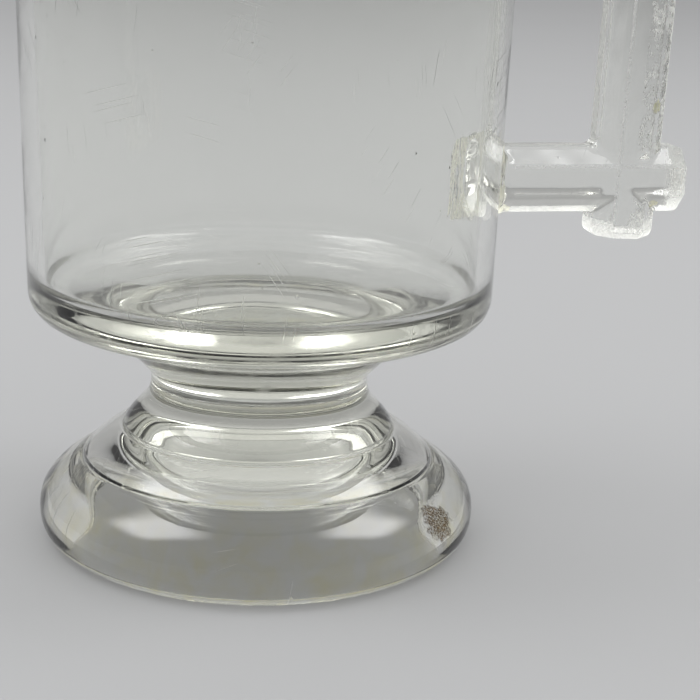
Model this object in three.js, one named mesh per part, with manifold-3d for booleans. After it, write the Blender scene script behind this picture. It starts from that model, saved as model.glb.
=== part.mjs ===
// A footed cream jug of clear pressed glass, with a handle of crossed square logs.
// Millimetres, +Z up. The jug is modelled about the axis of its foot, its handle along +X and its
// pouring lip along -X, and the finished group is moved so that the middle of its outline is at x = 0.

import * as THREE from "three";
import { mergeVertices } from "three/addons/utils/BufferGeometryUtils.js";
import Module from "manifold-3d";

// Foot: a hollow bell in two tiers
const footRadius = 40.2;
const footWidestHeight = 5.8;
const restRingOuter = 36.7;
const restRingWidth = 2.4;
const restRingEase = 0.7;
const lowerRingRadius = 32.0;
const lowerRingHeight = 15.0;
const upperRingRadius = 24.7;
const upperRingHeight = 20.6;
const ringCove = 0.8;
const tierBulge = 0.5;
const footCrown = 3.4;
const footWall = 5.0;

// Stem: the solid tier between the foot and the bowl
const waistRadius = 19.8;
const stemHeight = 8.2;
const stemHollow = 1.7;

// Bowl
const neckHeight = 0.6;
const neckFlare = 7.4;
const neckRise = 7.8;
const underside = 5.6;
const cornerRadius = 3.8;
const bowlRadius = 41.8;
const rimRadius = 43.7;
const bowlHeight = 108.4;
const wallThickness = 3.1;
const rimThickness = 2.6;
const floorThickness = 17.4;
const floorRadius = 34.2;
const floorDish = 0.5;

// Pouring lip
const lipReach = 8.0;
const lipRise = 4.5;
const lipDepth = 34.0;
const lipSpreadDeg = 27.0;

// Handle: two lying logs crossed by a standing one
const logWidth = 12.2;
const logFlat = 5.6;
const logEndRound = 1.8;
const logOverhang = 4.8;
const fingerGap = 19.2;
const uprightLeanDeg = 1.6;
const lowerLogHeight = 66.4;
const logSpacing = 51.0;
const rootFlare = 3.0;
const rootReach = 2.8;
const cornerWebHeight = 3.0;
const cornerWebWidth = 0.9;

// Fineness of the round forms
const turnSteps = 60;
const curveSteps = 5;
const roundSteps = 3;
const lipSteps = 4;

// Heights and places that follow from the sizes above
const stemFoot = upperRingHeight + ringCove;
const bowlFoot = stemFoot + stemHeight;
const rimHeight = bowlFoot + bowlHeight;
const undersideStart = bowlFoot + neckHeight + neckRise;
const cornerHeight = undersideStart + underside;
const wallStart = cornerHeight + cornerRadius;
const floorHeight = bowlFoot + floorThickness;
const upperLogHeight = lowerLogHeight + logSpacing;
const halfLog = logWidth / 2;
const wallRadiusAt = (z) =>
  bowlRadius + ((rimRadius - bowlRadius) * (z - wallStart)) / (rimHeight - wallStart);
const wallAt = (z) =>
  wallThickness + ((rimThickness - wallThickness) * (z - wallStart)) / (rimHeight - wallStart);
const uprightLean = THREE.MathUtils.degToRad(uprightLeanDeg);
const uprightFoot = wallRadiusAt(lowerLogHeight) + fingerGap + halfLog;
const uprightCentreAt = (z) => uprightFoot + Math.tan(uprightLean) * (z - lowerLogHeight);
const crossingHalf = halfLog / Math.cos(uprightLean) + halfLog * Math.tan(uprightLean);
const logTipAt = (z) => uprightCentreAt(z) + halfLog + logOverhang;
const outlineMiddle = (logTipAt(upperLogHeight) - (rimRadius + lipReach)) / 2;

const wasm = await Module();
wasm.setup();

// The solid of a closed geometry.
function toSolid(geometry) {
  const bare = geometry.clone();
  bare.deleteAttribute("normal");
  bare.deleteAttribute("uv");
  const merged = mergeVertices(bare, 1e-4);
  return new wasm.Manifold(
    new wasm.Mesh({
      numProp: 3,
      vertProperties: merged.attributes.position.array,
      triVerts: new Uint32Array(merged.index.array),
    }),
  );
}

// The geometry of a solid.
function toGeometry(solid) {
  const mesh = solid.getMesh();
  const geometry = new THREE.BufferGeometry();
  geometry.setAttribute("position", new THREE.BufferAttribute(mesh.vertProperties, 3));
  geometry.setIndex(new THREE.BufferAttribute(mesh.triVerts, 1));
  geometry.computeVertexNormals();
  return geometry;
}

// A profile of radius and height turned round the Z axis.
function turn(profile) {
  const geometry = new THREE.LatheGeometry(profile.getPoints(curveSteps), turnSteps);
  geometry.rotateX(Math.PI / 2);
  return geometry;
}

// A box between two corners.
function boxBetween(low, high) {
  const size = new THREE.Vector3().subVectors(high, low);
  const middle = new THREE.Vector3().addVectors(low, high).multiplyScalar(0.5);
  return new THREE.BoxGeometry(size.x, size.y, size.z).translate(middle.x, middle.y, middle.z);
}

// The corners of a log's section, a square with its corners cut, all sides moved out by grow.
function logSection(grow) {
  const half = halfLog + grow;
  const flat = logFlat / 2 + grow * (Math.SQRT2 - 1);
  return [
    [half, flat],
    [flat, half],
    [-flat, half],
    [-half, flat],
    [-half, -flat],
    [-flat, -half],
    [flat, -half],
    [half, -flat],
  ];
}

// A solid lofted through log sections along +Z. Each station has its height and how far it grows.
function loftLog(stations) {
  const rings = stations.map(({ at, grow }) => logSection(grow).map(([x, y]) => [x, y, at]));
  const count = rings[0].length;
  const last = (rings.length - 1) * count;
  const faces = [];
  for (let ring = 0; ring + 1 < rings.length; ring++) {
    for (let i = 0; i < count; i++) {
      const a = ring * count + i;
      const b = ring * count + ((i + 1) % count);
      faces.push(a, b, b + count, a, b + count, a + count);
    }
  }
  for (let i = 1; i + 1 < count; i++) {
    faces.push(0, i + 1, i);
    faces.push(last, last + i, last + i + 1);
  }
  const geometry = new THREE.BufferGeometry();
  geometry.setAttribute("position", new THREE.Float32BufferAttribute(rings.flat(2), 3));
  geometry.setIndex(faces);
  return geometry;
}

// The stations of a log's rounded end that stops at tip. Direction is 1 for an upper end, -1 for a lower.
function roundedEnd(tip, direction) {
  const stations = [];
  for (let step = 0; step <= roundSteps; step++) {
    const angle = (step / roundSteps) * (Math.PI / 2);
    stations.push({
      at: tip - direction * logEndRound * (1 - Math.sin(angle)),
      grow: -logEndRound * (1 - Math.cos(angle)),
    });
  }
  return direction > 0 ? stations : stations.reverse();
}

// Turns a loft along +Z into one along +X.
function layDown(geometry) {
  return geometry.rotateY(Math.PI / 2);
}

// Foot

function footProfile() {
  const coveStart = lowerRingRadius + ringCove;
  const cavityTop = stemFoot - footCrown;
  const ringInner = restRingOuter - restRingWidth;
  const profile = new THREE.Path();
  profile.moveTo(0, cavityTop);
  profile.bezierCurveTo(
    footRadius - 2.1 * footWall, cavityTop,
    footRadius - 0.94 * footWall, 0.64 * cavityTop,
    ringInner - restRingEase / 2, restRingEase,
  );
  profile.lineTo(ringInner, 0);
  profile.lineTo(restRingOuter, 0);
  profile.bezierCurveTo(
    footRadius - 0.6, 0.28 * footWidestHeight,
    footRadius, 0.55 * footWidestHeight,
    footRadius, footWidestHeight,
  );
  const shoulder = lowerRingHeight - footWidestHeight;
  profile.bezierCurveTo(
    footRadius, footWidestHeight + 0.48 * shoulder,
    THREE.MathUtils.lerp(coveStart, footRadius, 0.59), lowerRingHeight - 0.31 * shoulder,
    coveStart, lowerRingHeight,
  );
  profile.absarc(coveStart, lowerRingHeight + ringCove, ringCove, -Math.PI / 2, -Math.PI, true);
  const tierLow = new THREE.Vector2(lowerRingRadius, lowerRingHeight + ringCove);
  const tierHigh = new THREE.Vector2(upperRingRadius + ringCove, upperRingHeight);
  addTier(profile, tierLow, tierHigh);
  profile.absarc(upperRingRadius + ringCove, stemFoot, ringCove, -Math.PI / 2, -Math.PI, true);
  profile.lineTo(0, stemFoot);
  return profile;
}

// Adds the convex side of a tier to a profile, from its lower edge to its upper one.
function addTier(profile, low, high) {
  const along = new THREE.Vector2().subVectors(high, low).normalize();
  const outward = new THREE.Vector2(along.y, -along.x);
  const control = new THREE.Vector2().lerpVectors(low, high, 0.5).addScaledVector(outward, tierBulge);
  profile.quadraticCurveTo(control.x, control.y, high.x, high.y);
}

function makeFoot() {
  return turn(footProfile());
}

// Stem

function stemProfile() {
  const profile = new THREE.Path();
  profile.moveTo(0, stemFoot);
  profile.lineTo(upperRingRadius, stemFoot);
  profile.bezierCurveTo(
    upperRingRadius - stemHollow, stemFoot + 0.39 * stemHeight,
    waistRadius, stemFoot + 0.52 * stemHeight,
    waistRadius, bowlFoot,
  );
  profile.lineTo(0, bowlFoot);
  return profile;
}

function makeStem() {
  return turn(stemProfile());
}

// Bowl

function bowlProfile() {
  const neckTop = bowlFoot + neckHeight;
  const undersideEdge = waistRadius + neckFlare;
  const cornerInset = bowlRadius - 0.3 * cornerRadius;
  const innerStart = wallStart + wallThickness;
  const innerRadius = wallRadiusAt(innerStart) - wallAt(innerStart);
  const profile = new THREE.Path();
  profile.moveTo(0, bowlFoot);
  profile.lineTo(waistRadius, bowlFoot);
  profile.lineTo(waistRadius, neckTop);
  profile.bezierCurveTo(
    waistRadius, neckTop + 0.25 * neckRise,
    undersideEdge - 0.14 * neckFlare, undersideStart - 0.09 * neckRise,
    undersideEdge, undersideStart,
  );
  profile.bezierCurveTo(
    THREE.MathUtils.lerp(undersideEdge, cornerInset, 0.27), undersideStart + 0.44 * underside,
    THREE.MathUtils.lerp(undersideEdge, cornerInset, 0.85), undersideStart + 0.45 * underside,
    cornerInset, cornerHeight,
  );
  profile.quadraticCurveTo(bowlRadius, cornerHeight + 0.3 * cornerRadius, bowlRadius, wallStart);
  for (let step = 0; step <= lipSteps; step++) {
    const z = rimHeight - lipDepth * (1 - step / lipSteps);
    profile.lineTo(wallRadiusAt(z), z);
  }
  profile.absarc(rimRadius - rimThickness / 2, rimHeight, rimThickness / 2, 0, Math.PI, false);
  for (let step = 1; step <= lipSteps; step++) {
    const z = rimHeight - (lipDepth * step) / lipSteps;
    profile.lineTo(wallRadiusAt(z) - wallAt(z), z);
  }
  profile.lineTo(innerRadius, innerStart);
  profile.bezierCurveTo(
    innerRadius, floorHeight + 0.4 * wallThickness,
    floorRadius + wallThickness / 2, floorHeight,
    floorRadius, floorHeight,
  );
  profile.quadraticCurveTo(floorRadius / 2, floorHeight, 0, floorHeight - floorDish);
  return profile;
}

// Draws the rim out and up into a pouring lip on the -X side.
function drawLip(geometry) {
  const position = geometry.attributes.position;
  const spread = THREE.MathUtils.degToRad(lipSpreadDeg);
  for (let i = 0; i < position.count; i++) {
    const x = position.getX(i);
    const y = position.getY(i);
    const z = position.getZ(i);
    const height = THREE.MathUtils.smoothstep(z, rimHeight - lipDepth, rimHeight);
    const turnFromLip = Math.atan2(y, -x) / spread;
    const pull = height * Math.exp(-turnFromLip * turnFromLip);
    const radius = Math.hypot(x, y);
    if (pull > 0 && radius > 0) {
      const reach = 1 + (lipReach * pull * height) / radius;
      position.setXYZ(i, x * reach, y * reach, z + lipRise * pull);
    }
  }
  return geometry;
}

// The flared glass where a lying log grows out of the wall, ending in a flat face at rootFace.
function makeRoot(height) {
  const wall = wallRadiusAt(height);
  const stations = [{ at: wall - wallThickness / 2, grow: rootFlare }];
  for (let step = roundSteps; step >= 0; step--) {
    const angle = (step / roundSteps) * (Math.PI / 2);
    stations.push({
      at: rootFace(height) - rootReach * Math.sin(angle),
      grow: rootFlare * (1 - Math.cos(angle)),
    });
  }
  return layDown(loftLog(stations)).translate(0, 0, height);
}

function rootFace(height) {
  return wallRadiusAt(height) + rootReach;
}

function makeBowl() {
  const shell = toSolid(drawLip(turn(bowlProfile())));
  const lower = toSolid(makeRoot(lowerLogHeight));
  const upper = toSolid(makeRoot(upperLogHeight));
  return toGeometry(shell.add(lower).add(upper));
}

// Handle

// The block where a lying log crosses the standing one, or its front or back half.
function crossing(height, yLow, yHigh) {
  const centre = uprightCentreAt(height);
  return toSolid(
    boxBetween(
      new THREE.Vector3(centre - crossingHalf, yLow, height - halfLog),
      new THREE.Vector3(centre + crossingHalf, yHigh, height + halfLog),
    ),
  );
}

function lyingLog(height) {
  const stations = [{ at: rootFace(height), grow: 0 }, ...roundedEnd(logTipAt(height), 1)];
  return toSolid(layDown(loftLog(stations)).translate(0, 0, height));
}

function standingLog() {
  const low = -halfLog - logOverhang;
  const high = logSpacing / Math.cos(uprightLean) + halfLog + logOverhang;
  const stations = [...roundedEnd(low, -1), ...roundedEnd(high, 1)];
  const upright = loftLog(stations).rotateY(uprightLean);
  return toSolid(upright.translate(uprightFoot, 0, lowerLogHeight));
}

// The small web in an inner corner of the handle. Side is 1 above a lying log and -1 below it.
function cornerWeb(height, side) {
  const corner = height + side * halfLog;
  const face = uprightCentreAt(corner) - halfLog;
  const shape = new THREE.Shape();
  shape.moveTo(face + cornerWebWidth, corner);
  shape.lineTo(face + cornerWebWidth, corner + side * cornerWebHeight);
  shape.lineTo(uprightCentreAt(corner + side * cornerWebHeight) - halfLog, corner + side * cornerWebHeight);
  shape.lineTo(face - cornerWebWidth, corner);
  shape.closePath();
  const web = new THREE.ExtrudeGeometry(shape, { depth: logFlat, bevelEnabled: false, steps: 1 });
  return toSolid(web.rotateX(Math.PI / 2).translate(0, logFlat / 2, 0));
}

// Each log keeps half of every crossing: the lying one the back half, the standing one the front half.
function makeLyingLog(height) {
  const own = lyingLog(height).subtract(crossing(height, -logWidth, 0));
  const taken = standingLog().intersect(crossing(height, 0, halfLog));
  return toGeometry(own.add(taken));
}

function makeStandingLog() {
  const heights = [lowerLogHeight, upperLogHeight];
  const own = heights.reduce(
    (solid, height) => solid.subtract(crossing(height, 0, logWidth)),
    standingLog(),
  );
  const whole = heights.reduce(
    (solid, height) => solid.add(lyingLog(height).intersect(crossing(height, -halfLog, 0))),
    own,
  );
  return toGeometry(whole.add(cornerWeb(lowerLogHeight, 1)).add(cornerWeb(upperLogHeight, -1)));
}

// Assembly

const glass = { roughness: 0.03, metalness: 0, transparent: true, opacity: 0.35 };

function piece(name, geometry, colour) {
  const mesh = new THREE.Mesh(geometry, new THREE.MeshStandardMaterial({ ...glass, color: colour }));
  mesh.name = name;
  return mesh;
}

const body = new THREE.Group();
body.add(piece("foot", makeFoot(), 0xe9eee6));
body.add(piece("stem", makeStem(), 0xe9eee6));
body.add(piece("bowl", makeBowl(), 0xeef1ec));

const handle = new THREE.Group();
handle.add(piece("handle_lower_log", makeLyingLog(lowerLogHeight), 0xe9ece8));
handle.add(piece("handle_upright_log", makeStandingLog(), 0xe9ece8));
handle.add(piece("handle_upper_log", makeLyingLog(upperLogHeight), 0xe9ece8));

const jug = new THREE.Group();
jug.name = "cream_jug";
jug.add(body, handle);
jug.position.x = -outlineMiddle;

export default jug;
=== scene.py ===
"""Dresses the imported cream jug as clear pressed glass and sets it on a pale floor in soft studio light."""

import logging
import math
from dataclasses import dataclass, field
from enum import Enum
from typing import Sequence

import bmesh
import bpy
import numpy as np
from bpy.types import Material, Mesh, NodeSocket, NodeTree
from mathutils import Matrix, Vector


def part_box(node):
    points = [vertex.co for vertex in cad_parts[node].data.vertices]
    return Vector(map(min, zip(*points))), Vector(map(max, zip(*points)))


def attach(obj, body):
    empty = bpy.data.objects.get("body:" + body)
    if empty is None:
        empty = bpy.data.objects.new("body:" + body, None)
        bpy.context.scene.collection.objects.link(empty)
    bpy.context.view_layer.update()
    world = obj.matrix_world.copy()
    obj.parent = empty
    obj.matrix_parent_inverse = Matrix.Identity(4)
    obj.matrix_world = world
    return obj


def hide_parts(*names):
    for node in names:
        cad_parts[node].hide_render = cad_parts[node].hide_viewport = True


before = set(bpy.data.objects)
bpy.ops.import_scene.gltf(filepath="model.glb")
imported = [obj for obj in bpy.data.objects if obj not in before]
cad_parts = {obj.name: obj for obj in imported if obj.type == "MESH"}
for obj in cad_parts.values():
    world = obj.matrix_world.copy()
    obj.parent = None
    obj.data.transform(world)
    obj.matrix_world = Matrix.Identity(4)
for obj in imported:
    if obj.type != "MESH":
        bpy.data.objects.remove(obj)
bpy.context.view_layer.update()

log = logging.getLogger("cream_jug")
logging.basicConfig(level=logging.INFO, format="%(name)s: %(message)s")

Span = tuple[float, float]
Triple = tuple[float, float, float]
Numbers = float | np.ndarray

MM = 0.001
ROOT_BODY = "root"
SEAM = "seam"
SKIN = "rough_skin"
FUSED = "fused_glass"
WHITE = (1.0, 1.0, 1.0, 1.0)
AIM_HEIGHT = 60.0
# Pieces that meet stop this many millimetres short of their joint, whose faces let light through.
SEAM_GAP = 0.006
# A face counts as square to an axis when at least this share of its direction lies along it.
LEVEL = 0.98


class Node(Enum):
    """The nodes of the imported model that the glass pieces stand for."""

    FOOT = "foot"
    STEM = "stem"
    BOWL = "bowl"
    LOWER_LOG = "handle_lower_log"
    UPRIGHT_LOG = "handle_upright_log"
    UPPER_LOG = "handle_upper_log"


# Curves, distances and meshes


def lerp(low: float, high: float, share: float) -> float:
    """The value that lies share of the way from low to high."""
    return low + (high - low) * share


def smoothstep(value: np.ndarray, low: float, high: float) -> np.ndarray:
    """A smooth rise of value from 0 at low to 1 at high."""
    t = np.clip((value - low) / (high - low), 0.0, 1.0)
    return t * t * (3.0 - 2.0 * t)


def round_union(a: np.ndarray, b: np.ndarray, radius: Numbers) -> np.ndarray:
    """The distance to two joined forms whose inner corner is filled to a radius."""
    fill = np.hypot(np.maximum(radius - a, 0.0), np.maximum(radius - b, 0.0))
    return np.maximum(radius, np.minimum(a, b)) - fill


def round_meet(a: np.ndarray, b: np.ndarray, radius: float) -> np.ndarray:
    """The distance to what two forms share, its outer edge rounded to a radius."""
    edge = np.hypot(np.maximum(radius + a, 0.0), np.maximum(radius + b, 0.0))
    return np.minimum(-radius, np.maximum(a, b)) + edge


def add_object(name: str, data: bpy.types.ID) -> bpy.types.Object:
    """Adds an object to the scene.

    Args:
        name: Its name.
        data: Its mesh, lamp or camera.

    Returns:
        The object.
    """
    item = bpy.data.objects.new(name, data)
    bpy.context.scene.collection.objects.link(item)
    return item


def made_real(holder: bpy.types.Object) -> Mesh:
    """Turns what an object's modifiers make into a plain mesh, and removes the object.

    Args:
        holder: The object with its modifiers.

    Returns:
        The mesh.
    """
    depsgraph = bpy.context.evaluated_depsgraph_get()
    made = bpy.data.meshes.new_from_object(holder.evaluated_get(depsgraph))
    holder.modifiers.clear()
    bpy.data.objects.remove(holder)
    return made


def faced_outwards(mesh: Mesh) -> Mesh:
    """Turns a closed mesh's faces outwards if they point in.

    Args:
        mesh: The mesh, which is changed.

    Returns:
        The same mesh.
    """
    work = bmesh.new()
    work.from_mesh(mesh)
    if work.calc_volume(signed=True) < 0:
        bmesh.ops.reverse_faces(work, faces=work.faces[:])
    work.to_mesh(mesh)
    work.free()
    return mesh


def read(items: Sequence, name: str, width: int = 3, kind: type = float) -> np.ndarray:
    """Reads one property of all of a mesh's points, faces or corners.

    Args:
        items: The mesh's vertices, polygons or loops.
        name: The property.
        width: How many numbers each item has.
        kind: The numbers' type.

    Returns:
        A row for each item, or a single number for each where width is 1.
    """
    values = np.empty(len(items) * width, kind)
    items.foreach_get(name, values)
    return values if width == 1 else values.reshape(-1, width)


def face_middles(mesh: Mesh) -> tuple[np.ndarray, np.ndarray]:
    """The middle and the direction of each face."""
    return read(mesh.polygons, "center"), read(mesh.polygons, "normal")


def mark(mesh: Mesh, name: str, domain: str, values: np.ndarray) -> None:
    """Stores one number for each face or each corner point of a mesh."""
    layer = mesh.attributes.new(name, "FLOAT", domain)
    layer.data.foreach_set("value", values.astype(np.float32))


def shade_turned(mesh: Mesh, crease: float = 38.0) -> None:
    """Shades a turned mesh smooth, apart from its true edges."""
    mesh.shade_smooth()
    mesh.set_sharp_from_angle(angle=math.radians(crease))


class Outline:
    """The outline of a turned piece, drawn in millimetres of radius and height."""

    STEP = 0.04
    FIRST_GAP = 0.1
    GAP_GROWTH = 1.35

    def __init__(self, radius: float, height: float) -> None:
        """Starts the outline at a point."""
        self.runs: list[np.ndarray] = [np.array([[radius, height]])]

    @property
    def end(self) -> np.ndarray:
        """The last point drawn."""
        return self.runs[-1][-1]

    def _shares(self, length: float) -> np.ndarray:
        """Even shares of a stretch that is about length long, without its start."""
        count = max(2, math.ceil(length / self.STEP))
        return (np.arange(1, count + 1) / count)[:, None]

    def line(self, radius: float, height: float) -> None:
        """Draws a straight stretch to a point."""
        t = self._shares(float(np.linalg.norm(np.array([radius, height]) - self.end)))
        self.runs.append(self.end * (1 - t) + np.array([radius, height]) * t)

    def curve(self, first: Sequence[float], second: Sequence[float], end: Sequence[float]) -> None:
        """Draws a curve from where the outline is.

        Args:
            first: The point that it leaves towards.
            second: The point that it arrives from.
            end: Where it ends.
        """
        a, b, c, d = (np.asarray(p, float) for p in (self.end, first, second, end))
        t = self._shares(float(np.linalg.norm(b - a) + np.linalg.norm(c - b) + np.linalg.norm(d - c)))
        s = 1 - t
        self.runs.append(s**3 * a + 3 * s * s * t * b + 3 * s * t * t * c + t**3 * d)

    def bend(self, control: Sequence[float], end: Sequence[float]) -> None:
        """Draws a single bend to end, pulled towards control."""
        a, b, c = (np.asarray(p, float) for p in (self.end, control, end))
        self.curve(a + (b - a) * 2 / 3, c + (b - c) * 2 / 3, c)

    def arc(self, centre: Sequence[float], radius: float, start: float, stop: float) -> None:
        """Draws an arc.

        Args:
            centre: Its centre.
            radius: Its radius.
            start: The angle where it starts, in degrees.
            stop: The angle where it ends.
        """
        t = self._shares(abs(math.radians(stop - start)) * radius)[:, 0]
        angle = np.radians(start + (stop - start) * t)
        self.runs.append(radius * np.stack([np.cos(angle), np.sin(angle)], 1) + np.asarray(centre, float))

    def softened(self, softness: float, turn: float = 3.5, reach: float = 1.1) -> np.ndarray:
        """The outline with its corners melted a little, as fire polishing leaves them.

        Args:
            softness: How far the melting reaches, in millimetres.
            turn: The most that the outline turns between two kept points, in degrees.
            reach: The most that two kept points lie apart, in millimetres.

        Returns:
            The kept points, one row of radius and height each.
        """
        points = np.concatenate(self.runs)
        run = np.concatenate([[0.0], np.cumsum(np.linalg.norm(np.diff(points, axis=0), axis=1))])
        even = np.linspace(0.0, run[-1], math.ceil(run[-1] / self.STEP) + 1)
        line = np.stack([np.interp(even, run, points[:, i]) for i in (0, 1)], 1)
        width = math.ceil(3 * softness / self.STEP)
        weights = np.exp(-0.5 * (np.arange(-width, width + 1) * self.STEP / softness) ** 2)
        weights /= weights.sum()
        before = 2 * line[0] - line[1 : width + 1][::-1]
        after = 2 * line[-1] - line[-width - 1 : -1][::-1]
        padded = np.concatenate([before, line, after])
        line = np.stack([np.convolve(padded[:, i], weights, "valid") for i in (0, 1)], 1)
        heading = np.unwrap(np.arctan2(*np.gradient(line, axis=0).T[::-1]))
        kept, gap = [0], self.FIRST_GAP
        for i in range(1, len(line) - 1):
            here = (i - kept[-1]) * self.STEP
            turned = abs(heading[i] - heading[kept[-1]])
            if turned >= math.radians(turn) or here >= min(reach, self.GAP_GROWTH * gap + 0.05):
                gap = here
                kept.append(i)
        kept.append(len(line) - 1)
        return line[kept]


# Node trees


class Graph:
    """A node tree while it is being built, of geometry or of a shader."""

    def __init__(self, tree: NodeTree) -> None:
        """Takes the tree that the nodes go into."""
        self.tree = tree

    def add(self, kind: str, inputs: dict | None = None, **settings: object) -> bpy.types.Node:
        """Adds a node.

        Args:
            kind: The node's type.
            inputs: A value or a socket for each input, by the input's name or number.
            settings: The node's own settings.

        Returns:
            The new node.
        """
        node = self.tree.nodes.new(kind)
        for name, value in settings.items():
            setattr(node, name, value)
        for name, value in (inputs or {}).items():
            if isinstance(value, NodeSocket):
                self.tree.links.new(value, node.inputs[name])
            else:
                node.inputs[name].default_value = value
        return node

    def math(self, operation: str, *values: object) -> NodeSocket:
        """Adds a Math node and gives its result."""
        return self.add("ShaderNodeMath", dict(enumerate(values)), operation=operation).outputs[0]

    def rest(self, value: NodeSocket) -> NodeSocket:
        """What a value leaves of 1."""
        return self.math("SUBTRACT", 1.0, value)

    def rise(self, value: NodeSocket, low: object, high: object) -> NodeSocket:
        """A smooth rise of value from 0 at low to 1 at high."""
        spans = {"Value": value, "From Min": low, "From Max": high}
        return self.add("ShaderNodeMapRange", spans, interpolation_type="SMOOTHSTEP").outputs["Result"]

    def noise(self, place: NodeSocket, scale: object, detail: float, roughness: float = 0.5) -> NodeSocket:
        """Adds a cloudy noise and gives its value."""
        inputs = {"Vector": place, "Scale": scale, "Detail": detail, "Roughness": roughness}
        return self.add("ShaderNodeTexNoise", inputs).outputs[0]

    def cells(self, place: NodeSocket, scale: object, **settings: object) -> bpy.types.Node:
        """Adds round cells, each about a scattered point."""
        return self.add("ShaderNodeTexVoronoi", {"Vector": place, "Scale": scale}, feature="F1", **settings)

    def split(self, vector: NodeSocket) -> Sequence[NodeSocket]:
        """The three numbers of a vector."""
        return self.add("ShaderNodeSeparateXYZ", {0: vector}).outputs

    def stored(self, name: str) -> NodeSocket:
        """A number that the mesh holds for each point or face."""
        return self.add("ShaderNodeAttribute", attribute_name=name).outputs["Fac"]

    def millimetres(self, axis: Vector) -> NodeSocket:
        """The place on the jug, in millimetres about its axis."""
        spans = {0: self.add("ShaderNodeTexCoord").outputs["Object"], 1: (1 / MM,) * 3, 2: -axis}
        return self.add("ShaderNodeVectorMath", spans, operation="MULTIPLY_ADD").outputs[0]


class Group(Graph):
    """A node group while it is being built."""

    def __init__(self, name: str, kind: str, inputs: dict[str, tuple[str, object]]) -> None:
        """Makes the group and its inputs.

        Args:
            name: The group's name.
            kind: The kind of tree.
            inputs: The socket type and the default of each input.
        """
        super().__init__(bpy.data.node_groups.new(name, kind))
        for label, (socket_type, default) in inputs.items():
            socket = self.tree.interface.new_socket(label, in_out="INPUT", socket_type=socket_type)
            if default is not None:
                socket.default_value = default
        self.given = self.add("NodeGroupInput").outputs

    def __getitem__(self, label: str) -> NodeSocket:
        """What the group is given under a name."""
        return self.given[label]

    def give(self, results: dict[str, NodeSocket], socket_type: str = "NodeSocketFloat") -> NodeTree:
        """Makes the group's outputs.

        Args:
            results: What each output gives.
            socket_type: The outputs' type.

        Returns:
            The finished group.
        """
        for label in results:
            self.tree.interface.new_socket(label, in_out="OUTPUT", socket_type=socket_type)
        self.add("NodeGroupOutput", results)
        return self.tree


class Effect(Group):
    """A shader group while it is being built. It reads the place on the jug, in millimetres."""

    def __init__(self, name: str, **numbers: float | None) -> None:
        """Makes the group and its inputs.

        Args:
            name: The group's name.
            numbers: The default of each further input, or None for one that is a place.
        """
        inputs = {}
        for label, value in {"Place": None, **numbers}.items():
            inputs[label] = ("NodeSocketVector" if value is None else "NodeSocketFloat", value)
        super().__init__(name, "ShaderNodeTree", inputs)
        self.place = self.given["Place"]


def new_material(name: str) -> tuple[Graph, Material]:
    """Makes a material whose node tree is still empty.

    Args:
        name: The material's name.

    Returns:
        Its tree and the material.
    """
    material = bpy.data.materials.new(name)
    material.use_nodes = True
    material.node_tree.nodes.clear()
    return Graph(material.node_tree), material


class TurningLathe:
    """Turns an outline round the jug's upright axis, with a tree of geometry nodes."""

    WELD = 1e-4

    def __init__(self) -> None:
        """Builds the tree, which every turned piece then uses."""
        group = Group(
            "turned_glass",
            "GeometryNodeTree",
            {
                "Outline": ("NodeSocketGeometry", None),
                "Steps Round": ("NodeSocketInt", 180),
                "Weld Distance": ("NodeSocketFloat", self.WELD),
                "Glass": ("NodeSocketMaterial", None),
            },
        )
        outline, steps = group["Outline"], group["Steps Round"]
        rows = group.add("GeometryNodeAttributeDomainSize", {"Geometry": outline}).outputs["Point Count"]
        columns = group.math("ADD", steps, 1.0)
        body = group.add("GeometryNodeMeshGrid", {"Vertices X": columns, "Vertices Y": rows}).outputs["Mesh"]
        index = group.add("GeometryNodeInputIndex").outputs[0]
        row = group.math("MODULO", index, rows)
        column = group.math("FLOOR", group.math("DIVIDE", index, rows))
        place = group.add("GeometryNodeInputPosition").outputs[0]
        sample = {"Geometry": outline, "Index": row, "Value": place}
        sampled = group.add("GeometryNodeSampleIndex", sample, data_type="FLOAT_VECTOR").outputs["Value"]
        angle = group.math("DIVIDE", group.math("MULTIPLY", column, math.tau), steps)
        spin = {"Vector": sampled, "Angle": angle}
        turned = group.add("ShaderNodeVectorRotate", spin, rotation_type="Z_AXIS").outputs[0]
        for kind, inputs in (
            ("GeometryNodeSetPosition", {"Position": turned}),
            ("GeometryNodeMergeByDistance", {"Distance": group["Weld Distance"]}),
            ("GeometryNodeRealizeInstances", {}),
            ("GeometryNodeSetMaterial", {"Material": group["Glass"]}),
        ):
            body = group.add(kind, {"Geometry": body, **inputs}).outputs[0]
        self.tree = group.give({"Glass Body": body}, "NodeSocketGeometry")

    def turn(self, name: str, outline: np.ndarray, steps: int, glass: Material) -> Mesh:
        """Turns an outline into a closed mesh.

        Args:
            name: The mesh's name.
            outline: Points of radius and height in millimetres, from the axis to the axis.
            steps: How many flat sides go round.
            glass: The material.

        Returns:
            The mesh, in millimetres about the jug's own axis.
        """
        mesh = bpy.data.meshes.new(name + "_outline")
        points = [(radius, 0.0, height) for radius, height in outline]
        mesh.from_pydata(points, [(i, i + 1) for i in range(len(points) - 1)], [])
        holder = add_object(name + "_outline", mesh)
        modifier = holder.modifiers.new("turning", "NODES")
        modifier.node_group = self.tree
        wished = {"Steps Round": steps, "Weld Distance": self.WELD, "Glass": glass}
        for item in self.tree.interface.items_tree:
            if item.in_out == "INPUT" and item.name in wished:
                modifier[item.identifier] = wished[item.name]
        return faced_outwards(made_real(holder))


# Sizes of the jug, in millimetres, about the axis of its foot


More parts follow.
